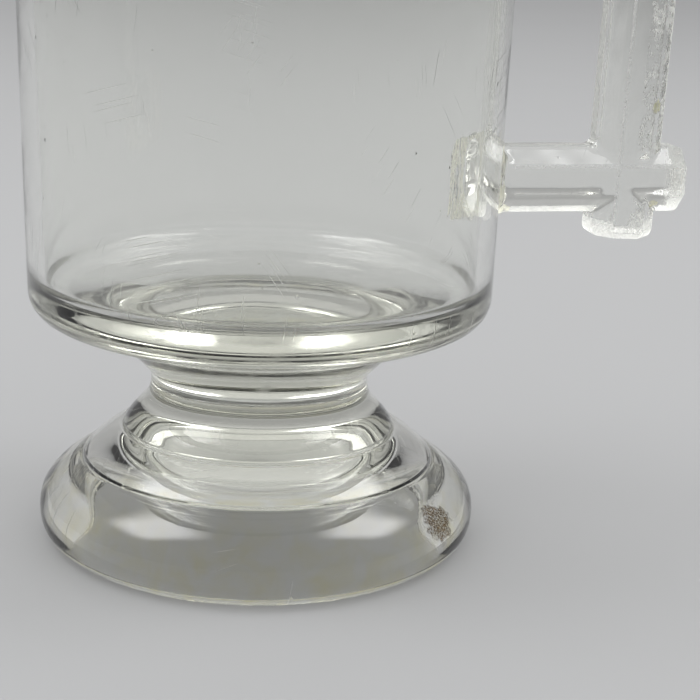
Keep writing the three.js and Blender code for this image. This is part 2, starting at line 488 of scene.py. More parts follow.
@dataclass(frozen=True)
class BodySizes:
    """The sizes of the foot, the stem and the bowl."""

    foot_radius: float = 40.2
    foot_widest_height: float = 5.8
    rest_ring_outer: float = 36.7
    rest_ring_width: float = 2.4
    rest_ring_ease: float = 0.7
    lower_ring_radius: float = 32.0
    lower_ring_height: float = 15.0
    upper_ring_radius: float = 24.7
    upper_ring_height: float = 20.6
    ring_cove: float = 0.8
    tier_bulge: float = 0.5
    foot_crown: float = 3.4
    foot_wall: float = 5.0
    waist_radius: float = 19.8
    stem_foot: float = 21.4
    stem_height: float = 8.2
    stem_hollow: float = 1.7
    neck_height: float = 0.6
    neck_flare: float = 7.4
    neck_rise: float = 7.8
    underside: float = 5.6
    corner_radius: float = 3.8
    bowl_radius: float = 41.8
    rim_radius: float = 43.7
    bowl_foot: float = 29.6
    rim_height: float = 138.0
    wall_thickness: float = 3.1
    rim_thickness: float = 2.6
    floor_height: float = 47.0
    floor_radius: float = 34.2
    floor_dish: float = 0.5
    lip_reach: float = 8.0
    lip_rise: float = 4.5
    lip_depth: float = 34.0
    lip_spread: float = math.radians(27.0)

    @property
    def underside_start(self) -> float:
        """The height where the neck has spread into the bowl's underside."""
        return self.bowl_foot + self.neck_height + self.neck_rise

    @property
    def corner_height(self) -> float:
        """The height where the underside turns up into the wall."""
        return self.underside_start + self.underside

    @property
    def wall_start(self) -> float:
        """The height where the straight wall starts."""
        return self.corner_height + self.corner_radius

    def wall_radius(self, height: Numbers) -> Numbers:
        """The wall's outer radius at a height."""
        share = (height - self.wall_start) / (self.rim_height - self.wall_start)
        return self.bowl_radius + (self.rim_radius - self.bowl_radius) * share

    def wall(self, height: float) -> float:
        """The wall's thickness at a height."""
        share = (height - self.wall_start) / (self.rim_height - self.wall_start)
        return lerp(self.wall_thickness, self.rim_thickness, share)


@dataclass(frozen=True)
class HandleSizes:
    """The sizes of the handle's three logs and of the glass that joins them."""

    log_width: float = 12.2
    log_flat: float = 5.6
    crease: float = 0.55
    end_round: float = 1.8
    overhang: float = 4.8
    finger_gap: float = 19.2
    lean: float = math.radians(1.6)
    lower_height: float = 66.4
    spacing: float = 51.0
    root_fill: float = 2.75
    root_reach: float = 2.8
    crossing_fill: float = 0.45
    web_fill: float = 2.1
    web_edge: Span = (1.8, 3.6)
    web_fade: float = 1.5
    wobble: float = 0.035
    crossing_margin: float = 0.05

    @property
    def half(self) -> float:
        """Half of a log's width."""
        return self.log_width / 2

    @property
    def heights(self) -> Span:
        """The heights of the two lying logs."""
        return self.lower_height, self.lower_height + self.spacing


class JugFrame:
    """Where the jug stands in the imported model, read from the nodes' boxes."""

    def __init__(self) -> None:
        """Reads the foot's box, whose middle is the jug's axis."""
        low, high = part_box(Node.FOOT.value)
        self.axis = Vector(((low.x + high.x) / 2, (low.y + high.y) / 2, low.z))

    def place(self, mesh: Mesh) -> Mesh:
        """Takes a mesh from millimetres about the jug's axis to its place in the row frame."""
        mesh.transform(Matrix.Translation(self.axis) @ Matrix.Scale(MM, 4))
        return mesh


class GlassPiece:
    """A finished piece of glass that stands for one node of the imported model."""

    def __init__(self, node: Node, mesh: Mesh, glass: Material, place: JugFrame) -> None:
        """Puts the mesh in its place and ties it to its node.

        Args:
            node: The node that the piece stands for.
            mesh: The piece's mesh, in millimetres about the jug's axis.
            glass: The one material that all of it has.
            place: Where the jug stands.
        """
        name = node.value + "_glass"
        mesh.name = name
        mesh.materials.clear()
        mesh.materials.append(glass)
        mesh.polygons.foreach_set("material_index", np.zeros(len(mesh.polygons), np.int32))
        self.body = add_object(name, place.place(mesh))
        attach(self.body, ROOT_BODY)
        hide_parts(node.value)
        log.info("%s: %d faces", name, len(mesh.polygons))


# The turned pieces


@dataclass
class Foot:
    """The hollow bell foot in two tiers."""

    sizes: BodySizes
    softness: float = 0.13
    steps: int = 200

    def _tier(self, outline: Outline, high: Span) -> None:
        """Draws the swelling side of a tier.

        Args:
            outline: The outline, which has come to the tier's lower edge.
            high: The tier's upper edge.
        """
        low = outline.end
        along = np.array(high) - low
        along /= np.linalg.norm(along)
        middle = (low + np.array(high)) / 2 + self.sizes.tier_bulge * np.array([along[1], -along[0]])
        outline.bend(middle, high)

    def outline(self) -> np.ndarray:
        """Draws the foot from the top of its hollow round to the seam under the stem.

        Returns:
            Its points of radius and height.
        """
        s = self.sizes
        crown = s.stem_foot - s.foot_crown
        ring_inner = s.rest_ring_outer - s.rest_ring_width
        cove_start = s.lower_ring_radius + s.ring_cove
        shoulder = s.lower_ring_height - s.foot_widest_height
        drawn = Outline(0.0, crown)
        drawn.curve(
            (s.foot_radius - 2.1 * s.foot_wall, crown),
            (s.foot_radius - 0.94 * s.foot_wall, 0.64 * crown),
            (ring_inner - s.rest_ring_ease / 2, s.rest_ring_ease),
        )
        drawn.line(ring_inner, 0.0)
        drawn.line(s.rest_ring_outer, 0.0)
        drawn.curve(
            (s.foot_radius - 0.6, 0.28 * s.foot_widest_height),
            (s.foot_radius, 0.55 * s.foot_widest_height),
            (s.foot_radius, s.foot_widest_height),
        )
        drawn.curve(
            (s.foot_radius, s.foot_widest_height + 0.48 * shoulder),
            (lerp(cove_start, s.foot_radius, 0.59), s.lower_ring_height - 0.31 * shoulder),
            (cove_start, s.lower_ring_height),
        )
        drawn.arc((cove_start, s.lower_ring_height + s.ring_cove), s.ring_cove, -90.0, -180.0)
        self._tier(drawn, (s.upper_ring_radius + s.ring_cove, s.upper_ring_height))
        drawn.arc((s.upper_ring_radius + s.ring_cove, s.stem_foot), s.ring_cove, -90.0, -180.0)
        contour = drawn.softened(self.softness)
        contour[-1, 1] -= SEAM_GAP
        return np.concatenate([contour, [[0.0, s.stem_foot - SEAM_GAP]]])

    def build(self, lathe: TurningLathe, glass: Material) -> Mesh:
        """Turns the foot and marks its seam.

        Args:
            lathe: What turns it.
            glass: Its material.

        Returns:
            The mesh.
        """
        mesh = lathe.turn("foot", self.outline(), self.steps, glass)
        shade_turned(mesh)
        middle, facing = face_middles(mesh)
        top = self.sizes.stem_foot - 2 * SEAM_GAP
        mark(mesh, SEAM, "FACE", (middle[:, 2] > top) & (facing[:, 2] > LEVEL))
        return mesh


@dataclass
class Stem:
    """The solid waist between the foot and the bowl."""

    sizes: BodySizes
    softness: float = 0.08
    steps: int = 180

    def outline(self) -> np.ndarray:
        """Draws the stem from its lower seam to its upper one.

        Returns:
            Its points of radius and height.
        """
        s = self.sizes
        top = s.stem_foot + s.stem_height
        drawn = Outline(s.upper_ring_radius, s.stem_foot)
        drawn.curve(
            (s.upper_ring_radius - s.stem_hollow, s.stem_foot + 0.39 * s.stem_height),
            (s.waist_radius, s.stem_foot + 0.52 * s.stem_height),
            (s.waist_radius, top),
        )
        contour = drawn.softened(self.softness)
        contour[0, 1] += SEAM_GAP
        contour[-1, 1] -= SEAM_GAP
        return np.concatenate([[[0.0, contour[0, 1]]], contour, [[0.0, contour[-1, 1]]]])

    def build(self, lathe: TurningLathe, glass: Material) -> Mesh:
        """Turns the stem and marks its two seams.

        Args:
            lathe: What turns it.
            glass: Its material.

        Returns:
            The mesh.
        """
        mesh = lathe.turn("stem", self.outline(), self.steps, glass)
        shade_turned(mesh)
        mark(mesh, SEAM, "FACE", np.abs(face_middles(mesh)[1][:, 2]) > LEVEL)
        return mesh


class LogField:
    """The distance to the handle's glass and the bowl's outer wall, from any point in millimetres."""

    NUDGE = 0.01
    LONGEST_MOVE = 0.4
    LEAST_STEEP = 0.05

    def __init__(self, body: BodySizes, sizes: HandleSizes) -> None:
        """Takes the sizes that place the logs."""
        self.body, self.sizes = body, sizes
        self.upright_x = float(body.wall_radius(sizes.lower_height)) + sizes.finger_gap + sizes.half

    def upright_at(self, height: float) -> float:
        """Where the standing log's middle is at a height."""
        return self.upright_x + math.tan(self.sizes.lean) * (height - self.sizes.lower_height)

    def tip_at(self, height: float) -> float:
        """Where a lying log ends."""
        return self.upright_at(height) + self.sizes.half + self.sizes.overhang

    def root_face(self, height: float) -> float:
        """Where the bowl's flared root gives way to a lying log."""
        return float(self.body.wall_radius(height)) + self.sizes.root_reach

    def upright_span(self) -> Span:
        """The ends of the standing log, along itself from the lower crossing."""
        s = self.sizes
        return -s.half - s.overhang, s.spacing / math.cos(s.lean) + s.half + s.overhang

    def _section(self, across: np.ndarray, up: np.ndarray) -> np.ndarray:
        """The distance to an endless square log with cut edges.

        Args:
            across: The places across the log.
            up: The places up from its middle.

        Returns:
            The distance at each place.
        """
        s = self.sizes
        side, top = np.abs(across) - s.half, np.abs(up) - s.half
        cut = (np.abs(across) + np.abs(up) - s.half - s.log_flat / 2) / math.sqrt(2)
        return round_meet(round_meet(side, cut, s.crease), top, s.crease)

    def _lying(self, place: Sequence[np.ndarray], height: float) -> np.ndarray:
        """The distance to a lying log, whose inner end is sunk in the wall."""
        x, y, z = place
        return round_meet(self._section(y, z - height), x - self.tip_at(height), self.sizes.end_round)

    def _standing(self, place: Sequence[np.ndarray]) -> np.ndarray:
        """The distance to the leaning upright log.

        Args:
            place: How far out, to the side and up each point lies.

        Returns:
            The distance at each point.
        """
        s = self.sizes
        x, y, z = place
        dx, dz = x - self.upright_x, z - s.lower_height
        across = math.cos(s.lean) * dx - math.sin(s.lean) * dz
        along = math.sin(s.lean) * dx + math.cos(s.lean) * dz
        low, high = self.upright_span()
        end = np.abs(along - (low + high) / 2) - (high - low) / 2
        return round_meet(self._section(across, y), end, s.end_round)

    def _wobble(self, place: Sequence[np.ndarray]) -> np.ndarray:
        """How much the slow unevenness of glass that was pressed hot takes away.

        Args:
            place: How far out, to the side and up each point lies.

        Returns:
            The depth taken at each point, never below zero.
        """
        x, y, z = place
        slow = np.sin(0.47 * x + 0.31 * z + 0.8) * np.sin(0.39 * y - 0.28 * z + 1.9)
        quick = np.sin(0.93 * x - 0.55 * y + 0.4) * np.sin(0.71 * z + 0.62 * y + 2.6)
        return self.sizes.wobble * (1.6 + slow + 0.6 * quick)

    def distance(self, points: np.ndarray) -> np.ndarray:
        """The distance from each point to the glass.

        Args:
            points: The points, with their places along the last axis.

        Returns:
            The distances, below zero inside the glass.
        """
        x, y, z = place = np.moveaxis(points, -1, 0)
        s = self.sizes
        lower, upper = s.heights
        standing = self._standing(place)
        inner = 1 / (1 + np.exp((x - self.upright_x) / s.web_fade))
        web = (s.web_fill - s.crossing_fill) * (1 - smoothstep(np.abs(y), *s.web_edge))
        low_fill = s.crossing_fill + web * inner / (1 + np.exp((lower - z) / s.web_fade))
        high_fill = s.crossing_fill + web * inner / (1 + np.exp((z - upper) / s.web_fade))
        logs = round_union(self._lying(place, lower), standing, low_fill)
        logs = round_union(logs, self._lying(place, upper), high_fill)
        logs = np.maximum(logs, np.abs(y) - s.half)
        wall = np.hypot(x, y) - self.body.wall_radius(z)
        return round_union(logs + self._wobble(place), wall, s.root_fill)

    def slope(self, points: np.ndarray) -> np.ndarray:
        """The direction in which the distance grows, at each point."""
        rises = [self.distance(points + d) - self.distance(points - d) for d in self.NUDGE * np.eye(3)]
        return np.stack(rises, -1) / (2 * self.NUDGE)

    def settle(
        self, points: np.ndarray, free: Sequence[float] = (1.0, 1.0, 1.0), rounds: int = 5
    ) -> np.ndarray:
        """Moves points onto the glass surface.

        Args:
            points: The points to move.
            free: 1 for each axis they may move along, 0 for one they may not.
            rounds: How often they are moved.

        Returns:
            The moved points.
        """
        most = self.LONGEST_MOVE
        for _ in range(rounds):
            slope = self.slope(points) * np.asarray(free)
            steep = np.maximum((slope**2).sum(-1, keepdims=True), self.LEAST_STEEP)
            points = points - np.clip(self.distance(points)[..., None] * slope / steep, -most, most)
        return points


@dataclass
class Bowl:
    """The tall plain bowl with its thick floor, its pouring lip and the handle's two flared roots."""

    sizes: BodySizes
    logs: LogField
    softness: float = 0.16
    steps: int = 240
    root_window: float = 11.6
    window_depth: float = 0.8
    flat_rings: int = 5
    flat_spread: float = 0.8
    fill_rings: int = 12
    fill_ease: float = 0.02
    fold_depth: float = 0.17
    fold_end: Span = (4.5, 8.0)
    fused_beside: float = 5.2
    fused_above: float = 1.5
    fused_corner: float = 1.6
    fused_tilt: float = 0.23
    fused_edge: Span = (-0.6, 0.8)
    fused_inside: Span = (-1.6, -0.6)
    fused_outside: Span = (0.7, 1.7)
    fused_under: Span = (2.4, 0.6)
    seam_probe: float = 0.05

    def outline(self) -> np.ndarray:
        """Draws the bowl from the seam on the stem over the rim to the middle of the floor.

        Returns:
            Its points of radius and height.
        """
        s = self.sizes
        neck_top = s.bowl_foot + s.neck_height
        underside_edge = s.waist_radius + s.neck_flare
        corner_inset = s.bowl_radius - 0.3 * s.corner_radius
        inner_start = s.wall_start + s.wall_thickness
        inner_radius = float(s.wall_radius(inner_start)) - s.wall(inner_start)
        edge = s.rim_thickness / 2
        drawn = Outline(s.waist_radius, s.bowl_foot)
        drawn.line(s.waist_radius, neck_top)
        drawn.curve(
            (s.waist_radius, neck_top + 0.25 * s.neck_rise),
            (underside_edge - 0.14 * s.neck_flare, s.underside_start - 0.09 * s.neck_rise),
            (underside_edge, s.underside_start),
        )
        drawn.curve(
            (lerp(underside_edge, corner_inset, 0.27), s.underside_start + 0.44 * s.underside),
            (lerp(underside_edge, corner_inset, 0.85), s.underside_start + 0.45 * s.underside),
            (corner_inset, s.corner_height),
        )
        drawn.bend((s.bowl_radius, s.corner_height + 0.3 * s.corner_radius), (s.bowl_radius, s.wall_start))
        drawn.line(s.rim_radius, s.rim_height)
        drawn.arc((s.rim_radius - edge, s.rim_height), edge, 0.0, 180.0)
        drawn.line(inner_radius, inner_start)
        drawn.curve(
            (inner_radius, s.floor_height + 0.4 * s.wall_thickness),
            (s.floor_radius + s.wall_thickness / 2, s.floor_height),
            (s.floor_radius, s.floor_height),
        )
        drawn.bend((s.floor_radius / 2, s.floor_height), (0.0, s.floor_height - s.floor_dish))
        contour = drawn.softened(self.softness)
        contour[0, 1] += SEAM_GAP
        return np.concatenate([[[0.0, contour[0, 1]]], contour])

    def _draw_lip(self, mesh: Mesh) -> None:
        """Draws the rim out and up into the pouring lip.

        Args:
            mesh: The turned bowl, which is changed.
        """
        s = self.sizes
        points = read(mesh.vertices, "co")
        height = smoothstep(points[:, 2], s.rim_height - s.lip_depth, s.rim_height)
        turn = np.arctan2(points[:, 1], -points[:, 0]) / s.lip_spread
        pull = height * np.exp(-turn * turn)
        radius = np.maximum(np.hypot(points[:, 0], points[:, 1]), 1e-3)
        reach = 1 + s.lip_reach * pull * height / radius
        points[:, :2] *= reach[:, None]
        points[:, 2] += s.lip_rise * pull
        mesh.vertices.foreach_set("co", points.ravel())

    def _in_window(self, place: Vector, height: float) -> bool:
        """Whether a face's middle lies on the outer wall where a root grows."""
        near = place.x > 0 and max(abs(place.y), abs(place.z - height)) < self.root_window
        return near and math.hypot(place.x, place.y) > self.sizes.wall_radius(height) - self.window_depth

    def _open_window(self, work: bmesh.types.BMesh, height: float) -> list:
        """Takes the outer wall's faces away round a root.

        Args:
            work: The bowl under way.
            height: The root's height.

        Returns:
            The points of the opening's rim, in order.
        """
        gone = [face for face in work.faces if self._in_window(face.calc_center_median(), height)]
        bmesh.ops.delete(work, geom=gone, context="FACES")
        edges = [edge for edge in work.edges if edge.is_boundary]
        rim = [edges[0].verts[0], edges[0].verts[1]]
        links = {}
        for edge in edges:
            for vert in edge.verts:
                links.setdefault(vert, []).append(edge.other_vert(vert))
        while len(rim) < len(edges):
            rim.append(next(v for v in links[rim[-1]] if v is not rim[-2]))
        return rim

    def _root_rings(self, far: np.ndarray, near: np.ndarray) -> list[tuple[np.ndarray, float, float]]:
        """The rings between the window's rim and the log, which lie closer where the root curves.

        Args:
            far: How far each point of the rim lies from the log's middle.
            near: The same for the log's outline.

        Returns:
            Each ring's reach from the log's middle, its place outwards and the strength of its folds.
        """
        fill, out = self.logs.sizes.root_fill, self.logs.sizes.root_reach - self.fill_ease
        rings = []
        for i in range(1, self.flat_rings + 1):
            share = i / (self.flat_rings + 1)
            rings.append((far + (near + fill - far) * share**self.flat_spread, 0.0, share**3))
        for i in range(self.fill_rings):
            angle = i / self.fill_rings * math.pi / 2
            fade = min(1.0, 1.6 * math.cos(angle))
            rings.append((near + fill * (1 - math.sin(angle)), out * (1 - math.cos(angle)), fade))
        return rings

    def _grow_root(self, work: bmesh.types.BMesh, height: float) -> None:
        """Fills the window in the wall with the flared root of a lying log.

        Args:
            work: The bowl under way.
            height: The log's height.
        """
        rim = self._open_window(work, height)
        offset = np.array([v.co for v in rim])[:, 1:] - [0.0, height]
        far = np.hypot(*offset.T)
        ray = offset / far[:, None]
        face = self.logs.root_face(height) - SEAM_GAP
        tip = np.column_stack([np.full(len(rim), face), ray * self.logs.sizes.half + [0.0, height]])
        tip = self.logs.settle(tip, (0.0, 1.0, 1.0), 12)
        layers = [rim]
        for reach, out, fade in self._root_rings(far, np.hypot(tip[:, 1], tip[:, 2] - height)):
            flat = ray * reach[:, None] + [0.0, height]
            foot = np.sqrt(self.sizes.wall_radius(flat[:, 1]) ** 2 - flat[:, 0] ** 2)
            points = self.logs.settle(np.column_stack([foot + out, flat]))
            points += fade * self._folds(points, height)[:, None] * self.logs.slope(points)
            layers.append([work.verts.new(p) for p in points])
        layers.append([work.verts.new(p) for p in tip])
        for low, high in zip(layers, layers[1:]):
            for i in range(len(rim)):
                j = (i + 1) % len(rim)
                work.faces.new((low[i], low[j], high[j], high[i]))
        work.faces.new(layers[-1])

    def _folds(self, points: np.ndarray, height: float) -> np.ndarray:
        """How far the upright folds of the fused glass stand in or out.

        Args:
            points: The points of a root.
            height: The root's height.

        Returns:
            The distance that each point moves.
        """
        y, z = points[:, 1], points[:, 2]
        beside = 1 - smoothstep(np.abs(z - height), *self.fold_end)
        wide = np.sin(1.9 * y + 0.9 * np.sin(0.42 * z + 1.0) + 0.6 * np.sin(1.1 * z))
        narrow = np.sin(3.7 * y - 0.7 * z + 1.6 * np.sin(0.31 * z))
        return self.fold_depth * beside * (wide + 0.5 * narrow)

    def _fused(self, points: np.ndarray) -> np.ndarray:
        """How much each point belongs to the crinkled glass round a root.

        Args:
            points: The bowl's points.

        Returns:
            A share from 0 to 1 for each point.
        """
        x, y, z = points.T
        near = np.zeros(len(points))
        half, fillet = self.logs.sizes.half, self.logs.sizes.root_reach
        out = np.hypot(x, y) - self.sizes.wall_radius(z)
        outside = smoothstep(out, *self.fused_inside) * (x > 0)
        wide, tall = half + self.fused_beside, half + self.fused_above
        corner = wide + tall - self.fused_corner
        start, stop = (half - room for room in self.fused_under)
        for height in self.logs.sizes.heights:
            across, up = np.abs(y), np.abs(z - height + self.fused_tilt * y)
            away = np.maximum.reduce([across - wide, up - tall, across + up - corner])
            proud = out - fillet * smoothstep(height - z, start, stop)
            on_wall = outside * (1 - smoothstep(proud, *self.fused_outside))
            near = np.maximum(near, (1 - smoothstep(away, *self.fused_edge)) * on_wall)
        return near

    def build(self, lathe: TurningLathe, glass: Material) -> Mesh:
        """Turns the bowl, draws its lip and grows the two roots out of its wall.

        Args:
            lathe: What turns it.
            glass: Its material.

        Returns:
            The mesh.
        """
        mesh = lathe.turn("bowl", self.outline(), self.steps, glass)
        self._draw_lip(mesh)
        work = bmesh.new()
        work.from_mesh(mesh)
        for height in self.logs.sizes.heights:
            self._grow_root(work, height)
        bmesh.ops.recalc_face_normals(work, faces=work.faces[:])
        work.to_mesh(mesh)
        work.free()
        faced_outwards(mesh)
        shade_turned(mesh)
        middle, facing = face_middles(mesh)
        beyond = self.logs.distance(middle + self.seam_probe * facing) < 0
        root_seam = (facing[:, 0] > LEVEL) & (middle[:, 0] > self.sizes.rim_radius) & beyond
        stem_seam = (facing[:, 2] < -LEVEL) & (middle[:, 2] < self.sizes.bowl_foot + 0.1)
        mark(mesh, SEAM, "FACE", root_seam | stem_seam)
        mark(mesh, FUSED, "POINT", self._fused(read(mesh.vertices, "co")))
        return mesh


# The handle


def graded_lines(low: float, high: float, marks: Sequence[float], fine: float, coarse: float) -> np.ndarray:
    """Cutting places from low to high, close together near the marks and wider elsewhere.

    Args:
        low: The first place.
        high: Where they end.
        marks: Where they lie close together.
        fine: The spacing near a mark.
        coarse: The widest spacing.

    Returns:
        The places, in order.
    """
    even_for, growth = 0.4, 0.28
    places = [low]
    while places[-1] < high:
        away = min(abs(places[-1] - mark) for mark in marks)
        places.append(places[-1] + min(coarse, fine + growth * max(0.0, away - even_for)))
    return np.array(places)


def skin_of(lines: Sequence[np.ndarray], values: np.ndarray) -> tuple[np.ndarray, np.ndarray]:
    """The closed skin where values on a grid pass through zero.

    Args:
        lines: The grid's places along x, y and z.
        values: The distance at each crossing of the grid, below zero inside.

    Returns:
        The skin's points and its four-sided faces.
    """
    inside = values < 0
    cells = [slice(None, -1), slice(1, None)]
    count = sum(inside[a, b, c].astype(int) for a in cells for b in cells for c in cells)
    used = (count > 0) & (count < 8)
    number = np.full(used.shape, -1)
    number[used] = np.arange(used.sum())
    where = np.argwhere(used)
    points = np.stack([((line[1:] + line[:-1]) / 2)[where[:, i]] for i, line in enumerate(lines)], 1)
    faces = []
    for axis in range(3):
        u, v = (axis + 1) % 3, (axis + 2) % 3
        first = np.take(inside, range(inside.shape[axis] - 1), axis)
        second = np.take(inside, range(1, inside.shape[axis]), axis)
        for leaving in (True, False):
            at = np.argwhere((first == leaving) & (second != leaving))
            at = at[(at[:, u] > 0) & (at[:, v] > 0)]
            ring = []
            for du, dv in ((1, 1), (0, 1), (0, 0), (1, 0)):
                cell = at.copy()
                cell[:, u] -= du
                cell[:, v] -= dv
                ring.append(number[tuple(cell.T)])
            quad = np.stack(ring, 1)
            faces.append(quad if leaving else quad[:, ::-1])
    return points, np.concatenate(faces)


def box_mesh(low: Sequence[float], high: Sequence[float]) -> Mesh:
    """Makes a plain box, used only to cut with.

    Args:
        low: Its lowest corner.
        high: Its highest corner.

    Returns:
        The box.
    """
    size, middle = Vector(high) - Vector(low), (Vector(high) + Vector(low)) / 2
    work = bmesh.new()
    bmesh.ops.create_cube(work, size=1.0, matrix=Matrix.Translation(middle) @ Matrix.Diagonal((*size, 1.0)))
    mesh = bpy.data.meshes.new("cutter")
    work.to_mesh(mesh)
    work.free()
    return mesh


class Cut(Enum):
    """What a cutting solid does."""

    KEEP = "INTERSECT"
    TAKE = "DIFFERENCE"


def cut_mesh(mesh: Mesh, tool: Mesh, how: Cut) -> Mesh:
    """Cuts one closed mesh by another.

    Args:
        mesh: The mesh that is cut.
        tool: The mesh that cuts.
        how: Whether the tool keeps what lies in it or takes it away.

    Returns:
        A new mesh.
    """
    holder, cutter = (add_object(m.name, m) for m in (mesh, tool))
    modifier = holder.modifiers.new("cut", "BOOLEAN")
    modifier.object = cutter
    modifier.operation = how.value
    modifier.solver = "MANIFOLD"
    made = made_real(holder)
    bpy.data.objects.remove(cutter)
    return made


@dataclass
class LogHandle:
    """The handle: two lying logs and the upright one that crosses them."""

    logs: LogField
    fine: float = 0.17
    coarse: float = 0.9
    grid_margins: Triple = (1.6, 2.1, 1.3)
    crease_inset: float = 0.25
    tip_marks: Triple = (0.2, 1.0, 1.8)
    root_cut: float = 0.5
    skin_reach: float = 4.3
    skin_fade: float = 1.5
    window_share: float = 0.45
    lower_cut: float = 4.2
    lower_fade: float = 0.7
    faces_front: Span = (0.85, 0.97)
    faces_down: Span = (0.75, 0.97)
    faces_out: Span = (0.5, 0.85)
    line_width: Span = (0.2, 0.6)
    line_strength: float = 0.62
    under_strength: float = 0.85
    outer_strength: float = 0.8
    far: float = 60.0
    outside: float = 200.0
    seam_probe: float = 0.03
    inner_room: float = 4.0
    end_room: float = 5.0
    whole: Mesh = field(init=False)

    def _lines(self) -> list[np.ndarray]:
        """The cutting places in a frame that leans with the upright log.

        Returns:
            The places along x, y and z.
        """
        s, f = self.logs.sizes, self.logs
        creases = [d * k for d in (s.log_flat / 2, s.half - self.crease_inset) for k in (-1, 1)]
        tip = f.tip_at(s.lower_height)
        low, high = f.upright_span()
        bottom, top = s.lower_height + low, s.lower_height + high
        start = float(f.body.wall_radius(s.lower_height)) + self.root_cut
        start -= math.tan(s.lean) * (s.spacing + high)
        x_marks = [f.upright_x + c for c in creases] + [tip - m for m in self.tip_marks]
        z_marks = [h + c for h in s.heights for c in creases]
        z_marks += [bottom + m for m in self.tip_marks] + [top - m for m in self.tip_marks]
        past_x, past_y, past_z = self.grid_margins
        return [
            graded_lines(start, tip + past_x, x_marks, self.fine, self.coarse),
            graded_lines(-s.half - past_y, s.half + past_y, creases, self.fine, self.coarse),
            graded_lines(bottom - past_z, top + past_z, z_marks, self.fine, self.coarse),
        ]

    def _upright_frame(self, points: np.ndarray) -> np.ndarray:
        """Leans points with the upright log.

        Args:
            points: The points in the leaning frame.

        Returns:
            The points in the jug's own frame.
        """
        moved = points.copy()
        moved[..., 0] += math.tan(self.logs.sizes.lean) * (points[..., 2] - self.logs.sizes.lower_height)
        return moved

    def cast(self) -> None:
        """Makes the whole handle as one closed mesh, from which the three logs are cut."""
        lines = self._lines()
        grid = self._upright_frame(np.stack(np.meshgrid(*lines, indexing="ij"), -1))
        start = self.logs.body.wall_radius(grid[..., 2]) + self.root_cut
        values = np.maximum(self.logs.distance(grid), start - grid[..., 0])
        points, faces = skin_of(lines, values)
        points = self._upright_frame(points)
        loose = points[:, 0] > self.logs.body.wall_radius(points[:, 2]) + self.root_cut + self.coarse
        points[loose] = self.logs.settle(points[loose], rounds=6)
        mesh = bpy.data.meshes.new("whole_handle")
        mesh.from_pydata(points.tolist(), [], faces.tolist())
        self.whole = faced_outwards(mesh)
        log.info("whole handle: %d faces", len(faces))

    def _crossing(self, height: float, grow: float) -> Mesh:
        """The front half of the space where two logs cross, open above and below.

        Args:
            height: The lying log's height.
            grow: How much wider it is made.

        Returns:
            A box to cut with.
        """
        s, middle = self.logs.sizes, self.logs.upright_at(height)
        wide = s.half / math.cos(s.lean) + s.half * math.tan(s.lean) + s.crossing_margin + grow
        tall = 2 * s.half
        return box_mesh((middle - wide, -self.far, height - tall), (middle + wide, grow, height + tall))

    def _layer(self, height: float, grow: float, start: float, stop: float) -> Mesh:
        """The layer that a lying log fills.

        Args:
            height: The log's height.
            grow: How much higher and deeper it is made.
            start: Where it starts, out from the jug's axis.
            stop: Where it stops.

        Returns:
            A box to cut with.
        """
        tall = self.logs.sizes.half + self.logs.sizes.crossing_margin + grow
        return box_mesh((start, -self.far, height - tall), (stop, self.far, height + tall))

    def lying_log(self, height: float) -> Mesh:
        """Cuts a lying log out of the whole handle. It keeps the back half of its crossing.

        Args:
            height: The log's height.

        Returns:
            The log's mesh.
        """
        start = self.logs.root_face(height) + SEAM_GAP
        layer = cut_mesh(self.whole, self._layer(height, -SEAM_GAP, start, start + self.far), Cut.KEEP)
        return self._finish(cut_mesh(layer, self._crossing(height, SEAM_GAP), Cut.TAKE))

    def upright_log(self) -> Mesh:
        """Cuts the upright log out of the whole handle. It keeps the front half of both crossings.

        Returns:
            The log's mesh.
        """
        s = self.logs.sizes
        low, high = (s.lower_height + end for end in self.logs.upright_span())
        inner = self.logs.upright_x - s.half - self.inner_room
        corner = (inner, -self.far, low - self.end_room)
        keep = box_mesh(corner, (self.outside, self.far, high + self.end_room))
        piece = cut_mesh(self.whole, keep, Cut.KEEP)
        for height in s.heights:
            layer = self._layer(height, SEAM_GAP, 0.0, self.outside)
            lying = cut_mesh(layer, self._crossing(height, -SEAM_GAP), Cut.TAKE)
            piece = cut_mesh(piece, lying, Cut.TAKE)
        return self._finish(piece)

    def _finish(self, mesh: Mesh) -> Mesh:
        """Marks the seams and the rough skin of a log, and shades it by the true slope of the glass.

        Args:
            mesh: The log's mesh, which is changed.

        Returns:
            The same mesh.
        """
        middle, facing = face_middles(mesh)
        seam = self.logs.distance(middle + self.seam_probe * facing) < 0
        mark(mesh, SEAM, "FACE", seam)
        points = read(mesh.vertices, "co")
        slope = self.logs.slope(points)
        slope /= np.maximum(np.linalg.norm(slope, axis=1, keepdims=True), 1e-9)
        mark(mesh, SKIN, "POINT", np.maximum(self._rough(points, slope), self._mould_line(points)))
        turns = read(mesh.polygons, "loop_total", 1, np.int32)
        face_of = np.repeat(np.arange(len(turns)), turns)
        vertex = read(mesh.loops, "vertex_index", 1, np.int32)
        normals = np.where(seam[face_of][:, None], facing[face_of], slope[vertex])
        mesh.shade_smooth()
        mesh.normals_split_custom_set(normals.tolist())
        return mesh

    def _mould_line(self, points: np.ndarray) -> np.ndarray:
        """How near each point is to the specked line that the mould's joint left on the front.

        Args:
            points: A log's points.

        Returns:
            A share from 0 to 1 for each point.
        """
        s, f = self.logs.sizes, self.logs
        x, y, z = points.T
        front, edge = y + s.half - 0.15, s.log_flat / 2 + 0.1
        away = np.hypot(front, x - f.upright_at(z) + edge)
        for height in s.heights:
            away = np.minimum(away, np.hypot(front, z - height - edge))
        return self.line_strength * (1 - smoothstep(away, *self.line_width))

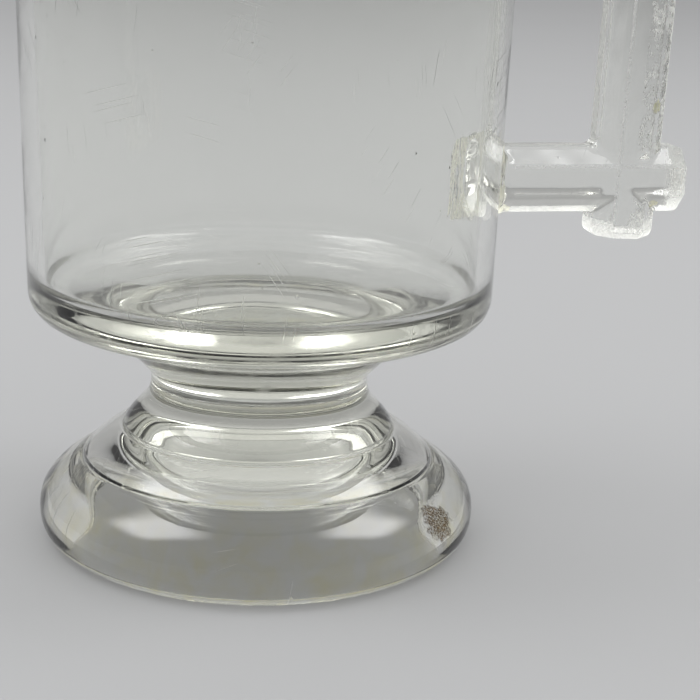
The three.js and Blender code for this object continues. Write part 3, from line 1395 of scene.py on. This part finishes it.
    def _rough(self, points: np.ndarray, slope: np.ndarray) -> np.ndarray:
        """How rough the mould left each point: the ends, the undersides and the upright's outer face.

        Args:
            points: A log's points.
            slope: The direction in which the glass faces at each.

        Returns:
            A share from 0 to 1 for each point.
        """
        s, f = self.logs.sizes, self.logs
        low, high = f.upright_span()
        from_middle = points[:, 0] - f.upright_at(points[:, 2])
        out = from_middle - s.half - s.overhang
        along = points[:, 2] - s.lower_height
        past = np.maximum.reduce([out, low - along, along - high])
        clear_front = smoothstep(np.abs(slope[:, 1]), *self.faces_front)
        start = self.skin_reach * (clear_front * (1 - self.window_share) - 1)
        ends = smoothstep(past, start, start + self.skin_fade)
        under = smoothstep(-slope[:, 2], *self.faces_down)
        outer = smoothstep(slope[:, 0], *self.faces_out)
        beside = np.abs(from_middle) > s.half + 0.1
        for height in s.heights:
            below = height - points[:, 2]
            cut = smoothstep(below, self.lower_cut, self.lower_cut + self.lower_fade) * beside
            cut *= below < s.half + 0.1
            under = np.maximum(under, cut)
        return np.maximum.reduce([ends, self.under_strength * under, self.outer_strength * outer])


# Finishes


@dataclass(frozen=True)
class Strokes:
    """Scratches that run one way: their angle, their length, their width and how few there are."""

    turn: float
    length: float
    width: float
    rarity: float


SCRATCHES = (Strokes(0.28, 75.0, 0.8, 0.80), Strokes(-0.95, 52.0, 0.7, 0.86), Strokes(1.42, 44.0, 0.7, 0.88))


class FinishGroups:
    """The effects that more than one glass uses, each built once as a shader group.

    A group's first output can raise the surface, and its last one can roughen or colour it.
    """

    ROUND_SCALE = 40.0

    def __init__(self) -> None:
        """Builds the groups."""
        self.waves = self._waves()
        self.hairlines = self._hairlines()
        self.stipple = self._stipple()
        self.seeds = self._seeds()
        self.stain = self._stain()
        self.folds = self._folds()
        self.film = self._film()

    def _waves(self) -> NodeTree:
        """The slow waves that a mould and a plunger leave in glass.

        Returns:
            The group.
        """
        group = Effect("mould_waves", Size=9.0, Depth=0.01)
        swell = group.noise(group.place, group.math("DIVIDE", 1.0, group["Size"]), 1.5, 0.4)
        return group.give({"Height": group.math("MULTIPLY", swell, group["Depth"])})

    def _hairlines(self) -> NodeTree:
        """Fine scratches: straight lines that taper off, laid out on the turned surface three ways.

        Returns:
            The group.
        """
        group = Effect("hairline_scratches", Amount=0.5, Lowest=-5.0)
        x, y, z = group.split(group.place)
        around = group.math("MULTIPLY", group.math("ARCTAN2", y, x), self.ROUND_SCALE)
        radius = group.add("ShaderNodeCombineXYZ", {0: x, 1: y}).outputs[0]
        radius = group.add("ShaderNodeVectorMath", {0: radius}, operation="LENGTH").outputs["Value"]
        along = group.math("SUBTRACT", z, radius)
        sheet = group.add("ShaderNodeCombineXYZ", {0: around, 1: along}).outputs[0]
        found = []
        for way in SCRATCHES:
            spread = (way.length, way.width, 1.0)
            turned = {"Vector": sheet, "Rotation": (0.0, 0.0, way.turn), "Scale": spread}
            laid = group.add("ShaderNodeMapping", turned, vector_type="TEXTURE").outputs[0]
            cell = group.cells(laid, 1.0, voronoi_dimensions="2D")
            line = group.rest(group.rise(cell.outputs["Distance"], 0.02, 0.085))
            kept = group.split(cell.outputs["Color"])[0]
            found.append(group.math("MULTIPLY", line, group.rise(kept, way.rarity, 1.0)))
        seen = group.math("MAXIMUM", group.math("MAXIMUM", found[0], found[1]), found[2])
        above = group.math("SUBTRACT", z, group["Lowest"])
        seen = group.math("MULTIPLY", seen, group.rise(above, 0.0, 2.0))
        return group.give({"Mask": group.math("MULTIPLY", seen, group["Amount"])})

    def _stipple(self) -> NodeTree:
        """The crushed skin that glass keeps where the mould chilled it.

        Returns:
            The group.
        """
        group = Effect("chilled_skin", Cover=1.0, Grain=0.5)
        scale = group.math("DIVIDE", 1.0, group["Grain"])
        edge = group.math("SUBTRACT", group.noise(group.place, 0.9, 3.0), 0.5)
        ragged = group.rise(group.math("ADD", group["Cover"], edge), 0.35, 0.75)
        mask = group.math("MULTIPLY", ragged, group.rise(group["Cover"], 0.02, 0.25))
        pits = group.cells(group.place, scale)
        crush = group.noise(group.place, scale, 4.0, 0.6)
        grain = group.math("ADD", pits.outputs["Distance"], crush)
        level = group.math("SUBTRACT", grain, 0.95)
        return group.give({"Height": group.math("MULTIPLY", level, mask), "Mask": mask})

    def _seeds(self) -> NodeTree:
        """Seeds and specks: small round marks, far apart.

        Returns:
            The group.
        """
        group = Effect("glass_seeds", Spacing=6.0, Size=0.05)
        cell = group.cells(group.place, group.math("DIVIDE", 1.0, group["Spacing"]))
        return group.give({"Mask": group.rest(group.rise(cell.outputs["Distance"], 0.0, group["Size"]))})

    def _folds(self) -> NodeTree:
        """The upright folds and hazy streaks of glass that was fused while it was soft.

        Returns:
            The group.
        """
        group = Effect("fused_folds", Cover=1.0, Fold=1.5)
        scale = group.math("DIVIDE", 1.0, group["Fold"])
        edge = group.math("SUBTRACT", group.noise(group.place, 0.8, 2.0), 0.5)
        ragged = group.math("ADD", group["Cover"], group.math("MULTIPLY", edge, 0.6))
        mask = group.math("MULTIPLY", group.rise(ragged, 0.2, 0.75), group.rise(group["Cover"], 0.02, 0.3))
        drawn = group.add("ShaderNodeMapping", {"Vector": group.place, "Scale": (1.0, 1.0, 0.28)}).outputs[0]
        folds = group.noise(drawn, scale, 3.0, 0.55)
        crease = group.math("ABSOLUTE", group.math("SUBTRACT", folds, 0.5))
        height = group.math("SUBTRACT", 0.09, crease)
        height = group.math("MULTIPLY", height, group.math("MULTIPLY", mask, mask))
        haze = group.math("MULTIPLY", group.rise(folds, 0.30, 0.52), mask)
        return group.give({"Height": height, "Haze": haze})

    def _film(self) -> NodeTree:
        """A cloudy film that dried in, strongest at one height and gone at another.

        Returns:
            The group.
        """
        group = Effect("cloudy_film", **{"Strong At": 47.0, "Gone At": 52.0})
        height = group.split(group.place)["Z"]
        cloudy = {"Vector": group.place, "Scale": 0.14, "Detail": 4.0, "Roughness": 0.62, "Distortion": 0.6}
        cloud = group.add("ShaderNodeTexNoise", cloudy).outputs[0]
        share = group.rise(height, group["Gone At"], group["Strong At"])
        return group.give({"Mask": group.math("MULTIPLY", group.rise(cloud, 0.42, 0.68), share)})

    def _stain(self) -> NodeTree:
        """A dried stain: a ragged blot about a centre.

        Returns:
            The group.
        """
        group = Effect("dried_stain", Centre=None, Reach=2.0)
        apart = {0: group.place, 1: group["Centre"]}
        away = group.add("ShaderNodeVectorMath", apart, operation="DISTANCE").outputs["Value"]
        ragged = group.noise(group.place, 0.7, 2.5, 0.6)
        grain = group.noise(group.place, 3.2, 2.0)
        share = group.math("MULTIPLY_ADD", ragged, 0.9, group.math("DIVIDE", away, group["Reach"]))
        spot = group.rest(group.rise(share, 0.92, 1.12))
        speckle = group.math("MULTIPLY_ADD", group.rise(grain, 0.36, 0.54), 0.5, 0.5)
        return group.give({"Mask": group.math("MULTIPLY", spot, speckle)})


@dataclass
class Coat:
    """What a glass surface is like at each place, while its marks are laid on it one by one."""

    graph: Graph
    place: NodeSocket
    height: NodeSocket
    rough: NodeSocket | float
    colour: NodeSocket | tuple[float, ...]

    def lay(
        self,
        group: NodeTree,
        depth: float = 0.0,
        haze: float = 0.0,
        colour: Triple | None = None,
        **inputs: object,
    ) -> None:
        """Lays one effect on the surface.

        Args:
            group: The effect's shader group.
            depth: How far its first output raises the surface, in millimetres.
            haze: How much its last output roughens it.
            colour: The colour that its last output gives it, if any.
            inputs: A value or a socket for each of the group's inputs, apart from the place.
        """
        graph = self.graph
        found = graph.add("ShaderNodeGroup", {"Place": self.place, **inputs}, node_tree=group).outputs
        if depth:
            self.height = graph.math("ADD", self.height, graph.math("MULTIPLY", found[0], depth))
        if haze:
            self.rough = graph.math("ADD", self.rough, graph.math("MULTIPLY", found[-1], haze))
        if colour:
            mixed = {0: found[-1], 6: self.colour, 7: (*colour, 1.0)}
            self.colour = graph.add("ShaderNodeMix", mixed, data_type="RGBA").outputs[2]


@dataclass(frozen=True)
class Residue:
    """A spot of something dried on the glass, in millimetres about the jug's axis."""

    centre: Triple
    reach: float
    colour: Triple
    roughness: float = 0.45


@dataclass(frozen=True)
class Film:
    """A thin film on the glass, from the height where it is strong to the one where it is gone."""

    strong_at: float
    gone_at: float
    haze: float = 0.0
    colour: Triple | None = None


BOWL_FILM = (Film(47.5, 54.0, haze=0.22),)
FOOT_FILM = (Film(0.0, 2.2, haze=0.5), Film(6.0, 19.0, colour=(0.98, 0.94, 0.70)))
FOOT_RESIDUE = (Residue((27.8, -26.9, 9.9), 6.2, (0.05, 0.022, 0.005), 0.18),)
HANDLE_RESIDUE = (
    Residue((71.3, -5.5, 80.2), 2.2, (0.52, 0.50, 0.26)),
    Residue((72.2, -4.3, 62.4), 1.8, (0.58, 0.55, 0.32)),
)


@dataclass(frozen=True)
class GlassFinish:
    """A finish of the jug's clear glass.

    Lengths are in millimetres. The absorption is what the glass takes from light on its way through.
    """

    name: str
    colour: Triple = (0.985, 0.99, 0.975)
    roughness: float = 0.012
    ior: float = 1.5
    absorption: Triple = (0.84, 0.85, 0.68)
    density: float = 8.0
    lamp_light: float = 0.9
    wave_size: float = 11.0
    wave_depth: float = 0.05
    scratches: float = 1.0
    scratched_from: float = -5.0
    scratch_depth: float = -0.02
    scratch_haze: float = 0.35
    seed_spacing: float = 7.0
    seed_size: float = 0.05
    seed_height: float = 0.08
    chilled: bool = False
    skin_grain: float = 0.42
    skin_depth: float = 0.15
    skin_haze: float = 0.68
    fused: bool = False
    fold_depth: float = 1.7
    fold_haze: float = 0.75
    fused_colour: Triple = (0.965, 0.955, 0.77)
    films: tuple[Film, ...] = ()
    residue: tuple[Residue, ...] = ()

    def _coated(self, graph: Graph, groups: FinishGroups, axis: Vector) -> Coat:
        """Lays all that this glass shows on its surface.

        Args:
            graph: The material's tree.
            groups: The shader groups that it places.
            axis: The jug's axis, in millimetres.

        Returns:
            The surface's height, roughness and colour.
        """
        place = graph.millimetres(axis)
        swell = {"Place": place, "Size": self.wave_size, "Depth": self.wave_depth}
        waves = graph.add("ShaderNodeGroup", swell, node_tree=groups.waves).outputs["Height"]
        coat = Coat(graph, place, waves, self.roughness, (*self.colour, 1.0))
        marks = {"Amount": self.scratches, "Lowest": self.scratched_from}
        coat.lay(groups.hairlines, self.scratch_depth, self.scratch_haze, **marks)
        coat.lay(groups.seeds, self.seed_height, Spacing=self.seed_spacing, Size=self.seed_size)
        for film in self.films:
            heights = {"Strong At": film.strong_at, "Gone At": film.gone_at}
            coat.lay(groups.film, haze=film.haze, colour=film.colour, **heights)
        if self.chilled:
            skin = {"Cover": graph.stored(SKIN), "Grain": self.skin_grain}
            coat.lay(groups.stipple, self.skin_depth, self.skin_haze, **skin)
        if self.fused:
            cover = graph.stored(FUSED)
            coat.lay(groups.folds, self.fold_depth, self.fold_haze, self.fused_colour, Cover=cover)
        for spot in self.residue:
            coat.lay(groups.stain, 0.0, spot.roughness, spot.colour, Centre=spot.centre, Reach=spot.reach)
        return coat

    def make(self, groups: FinishGroups, axis: Vector) -> Material:
        """Builds the material, which lets light through at the seams and lets most of a lamp's light pass.

        Args:
            groups: The shader groups that it places.
            axis: The jug's axis, in millimetres.

        Returns:
            The new material.
        """
        graph, material = new_material(self.name)
        coat = self._coated(graph, groups, axis)
        bump = graph.add("ShaderNodeBump", {"Height": coat.height, "Strength": 1.0, "Distance": MM})
        shade = graph.add("ShaderNodeLightPath").outputs["Is Shadow Ray"]
        closed = graph.rest(graph.math("MULTIPLY", shade, self.lamp_light))
        surface = {
            "Base Color": coat.colour,
            "Roughness": coat.rough,
            "IOR": self.ior,
            "Transmission Weight": 1.0,
            "Alpha": graph.math("MULTIPLY", closed, graph.rest(graph.stored(SEAM))),
            "Normal": bump.outputs["Normal"],
        }
        glass = graph.add("ShaderNodeBsdfPrincipled", surface).outputs[0]
        tint = {"Color": (*self.absorption, 1.0), "Density": self.density}
        depth = graph.add("ShaderNodeVolumeAbsorption", tint).outputs[0]
        graph.add("ShaderNodeOutputMaterial", {"Surface": glass, "Volume": depth})
        return material


@dataclass(frozen=True)
class FloorFinish:
    """The plain pale floor of the studio."""

    name: str = "pale_floor"
    colour: Triple = (0.42, 0.423, 0.428)
    roughness: Span = (0.57, 0.67)

    def make(self) -> Material:
        """Builds the material, with a faint unevenness in its sheen.

        Returns:
            The new material.
        """
        graph, material = new_material(self.name)
        cloud = graph.noise(graph.add("ShaderNodeTexCoord").outputs["Object"], 9.0, 4.0)
        low, high = self.roughness
        spread = {"Value": cloud, "To Min": low, "To Max": high}
        rough = graph.add("ShaderNodeMapRange", spread).outputs["Result"]
        surface = {"Base Color": (*self.colour, 1.0), "Roughness": rough}
        floor = graph.add("ShaderNodeBsdfPrincipled", surface).outputs[0]
        graph.add("ShaderNodeOutputMaterial", {"Surface": floor})
        return material


# The studio


@dataclass
class Softbox:
    """A wide soft lamp aimed at the jug. Lengths are in metres and angles in degrees."""

    name: str
    azimuth: float
    elevation: float
    size: Span
    power: float
    distance: float = 1.6
    fade: float = 0.35

    def _soften(self, lamp: bpy.types.AreaLight) -> None:
        """Lets the light fade towards the lamp's edges, as the cloth of a softbox does.

        Args:
            lamp: The lamp.
        """
        lamp.use_nodes = True
        lamp.node_tree.nodes.clear()
        graph = Graph(lamp.node_tree)
        spread = graph.add("ShaderNodeNewGeometry").outputs["Parametric"]
        share: object = 1.0
        for side in graph.split(spread)[:2]:
            edge = graph.math("SUBTRACT", 0.5, graph.math("ABSOLUTE", graph.math("SUBTRACT", side, 0.5)))
            share = graph.math("MULTIPLY", share, graph.rise(edge, 0.0, self.fade))
        glow = graph.add("ShaderNodeEmission", {"Color": WHITE, "Strength": share})
        graph.add("ShaderNodeOutputLight", {"Surface": glow.outputs[0]})

    def hang(self, target: Vector) -> None:
        """Hangs the lamp at its angles round the target.

        Args:
            target: What it is aimed at.
        """
        lamp = bpy.data.lights.new(self.name, "AREA")
        lamp.shape = "RECTANGLE"
        lamp.size, lamp.size_y = self.size
        lamp.energy = self.power
        self._soften(lamp)
        holder = add_object(self.name, lamp)
        a, e = math.radians(self.azimuth), math.radians(self.elevation)
        away = Vector((math.sin(a) * math.cos(e), -math.cos(a) * math.cos(e), math.sin(e)))
        holder.location = target + away * self.distance
        holder.rotation_euler = (-away).to_track_quat("-Z", "Y").to_euler()
        holder.visible_camera = False
        log.info("lamp %s hung", self.name)


@dataclass
class PhotoCamera:
    """The camera of the photograph, about the jug's axis.

    Lengths are in millimetres, apart from the span that it sees, which is in metres.
    """

    focal_pixels: float = 1700.0
    frame_pixels: float = 700.0
    sensor: float = 36.0
    pitch: float = math.radians(15.43)
    roll: float = math.radians(1.94)
    yaw: float = math.radians(3.14)
    handle_turn: float = math.radians(9.0)
    distance: float = 301.0
    height: float = 117.97
    clip: Span = (0.01, 60.0)

    def set_up(self, axis: Vector) -> None:
        """Makes the camera and hands it to the scene.

        Args:
            axis: The foot of the jug's axis, in the row frame.
        """
        data = bpy.data.cameras.new("photo_camera")
        data.sensor_width = self.sensor
        data.lens = self.focal_pixels / self.frame_pixels * self.sensor
        data.clip_start, data.clip_end = self.clip
        level = Vector((math.sin(self.yaw), math.cos(self.yaw), 0.0))
        ahead = level * math.cos(self.pitch) - Vector((0.0, 0.0, math.sin(self.pitch)))
        right = Vector((math.cos(self.yaw), -math.sin(self.yaw), 0.0))
        up = right.cross(ahead)
        across = right * math.cos(self.roll) + up * math.sin(self.roll)
        upward = up * math.cos(self.roll) - right * math.sin(self.roll)
        spun = Matrix.Rotation(-self.handle_turn, 3, "Z")
        axes = Matrix([spun @ across, spun @ upward, spun @ -ahead]).transposed()
        spot = spun @ Vector((0.0, -self.distance, 0.0)) + Vector((0.0, 0.0, self.height))
        camera = add_object("photo_camera", data)
        camera.matrix_world = Matrix.Translation(axis + spot * MM) @ axes.to_4x4()
        bpy.context.scene.camera = camera


@dataclass
class Studio:
    """The pale floor, the soft lamps and the grey of the room round them. Lengths are in metres."""

    floor_radius: float = 9.0
    horizon: float = 0.36
    zenith: float = 0.70
    zenith_from: float = 0.9
    lamps: tuple[Softbox, ...] = (
        Softbox("left_softbox", azimuth=-98.0, elevation=56.0, size=(1.05, 1.25), power=31.0),
        Softbox("right_softbox", azimuth=88.0, elevation=54.0, size=(0.95, 1.15), power=26.0),
    )

    def _floor(self) -> None:
        """Lays the floor."""
        work = bmesh.new()
        bmesh.ops.create_circle(work, cap_ends=True, segments=96, radius=self.floor_radius)
        mesh = bpy.data.meshes.new("studio_floor")
        work.to_mesh(mesh)
        work.free()
        mesh.materials.append(FloorFinish().make())
        floor = add_object("studio_floor", mesh)

    def _room(self) -> None:
        """Paints the room: grey at the level of the table, brighter overhead."""
        world = bpy.data.worlds.new("soft_room")
        world.use_nodes = True
        world.node_tree.nodes.clear()
        graph = Graph(world.node_tree)
        height = graph.split(graph.add("ShaderNodeTexCoord").outputs["Generated"])["Z"]
        rise = graph.rise(height, 0.0, self.zenith_from)
        light = graph.math("MULTIPLY_ADD", rise, self.zenith - self.horizon, self.horizon)
        sky = graph.add("ShaderNodeBackground", {"Color": WHITE, "Strength": light})
        graph.add("ShaderNodeOutputWorld", {"Surface": sky.outputs[0]})
        bpy.context.scene.world = world

    def set_up(self, target: Vector) -> None:
        """Builds the studio round the jug.

        Args:
            target: The middle of the jug, which the lamps are aimed at.
        """
        self._floor()
        self._room()
        for lamp in self.lamps:
            lamp.hang(target)
        bpy.context.scene.view_settings.view_transform = "Standard"
        bpy.context.scene.cycles.caustics_refractive = False
        bpy.context.scene.cycles.caustics_reflective = False


def main() -> None:
    """Builds the jug's glass, then the studio round it."""
    place = JugFrame()
    PhotoCamera().set_up(place.axis)
    groups = FinishGroups()
    bowl_finish = GlassFinish("bowl_glass_finish", fused=True, films=BOWL_FILM, scratched_from=42.0)
    stem_finish = GlassFinish("stem_glass_finish", seed_spacing=5.0, scratches=0.35)
    foot_finish = GlassFinish("foot_glass_finish", seed_spacing=5.0, films=FOOT_FILM, residue=FOOT_RESIDUE)
    log_finish = GlassFinish("handle_glass_finish", chilled=True, scratches=0.5, residue=HANDLE_RESIDUE)
    body, handle = BodySizes(), HandleSizes()
    logs = LogField(body, handle)
    lathe = TurningLathe()
    for node, piece, finish in (
        (Node.FOOT, Foot(body), foot_finish),
        (Node.STEM, Stem(body), stem_finish),
        (Node.BOWL, Bowl(body, logs), bowl_finish),
    ):
        glass = finish.make(groups, place.axis / MM)
        GlassPiece(node, piece.build(lathe, glass), glass, place)
    maker = LogHandle(logs)
    maker.cast()
    glass = log_finish.make(groups, place.axis / MM)
    lower, upper = handle.heights
    for node, mesh in (
        (Node.LOWER_LOG, maker.lying_log(lower)),
        (Node.UPRIGHT_LOG, maker.upright_log()),
        (Node.UPPER_LOG, maker.lying_log(upper)),
    ):
        GlassPiece(node, mesh, glass, place)
    Studio().set_up(place.axis + Vector((0.0, 0.0, AIM_HEIGHT * MM)))


if __name__ == "__main__":
    main()
